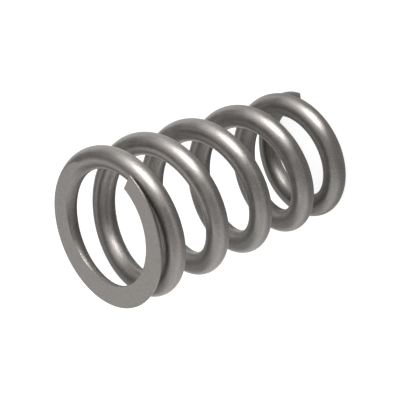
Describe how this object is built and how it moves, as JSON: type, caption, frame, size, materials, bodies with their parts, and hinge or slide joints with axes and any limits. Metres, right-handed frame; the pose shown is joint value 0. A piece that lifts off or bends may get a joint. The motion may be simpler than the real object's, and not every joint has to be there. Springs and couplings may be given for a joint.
{
  "type": "conical valve spring",
  "caption": "Conical compression spring of round steel wire, with closed and ground ends, that shuts an engine's poppet valve.",
  "frame": {"origin": "on the coil's axis, in the plane of the narrow ground end that the spring stands on", "axes": "+Z along the coil's axis, from the narrow end to the wide end; +X from the axis towards the wide tip of the wire"},
  "size_m": [0.0318, 0.0318, 0.0526],
  "materials": {
    "spring_steel": "satin shot-peened spring wire, mid grey and slightly warm, with finer matt grey faces where the ends are ground"
  },
  "bodies": {
    "root": {"valve_spring": "spring_steel"}
  },
  "joints": []
}
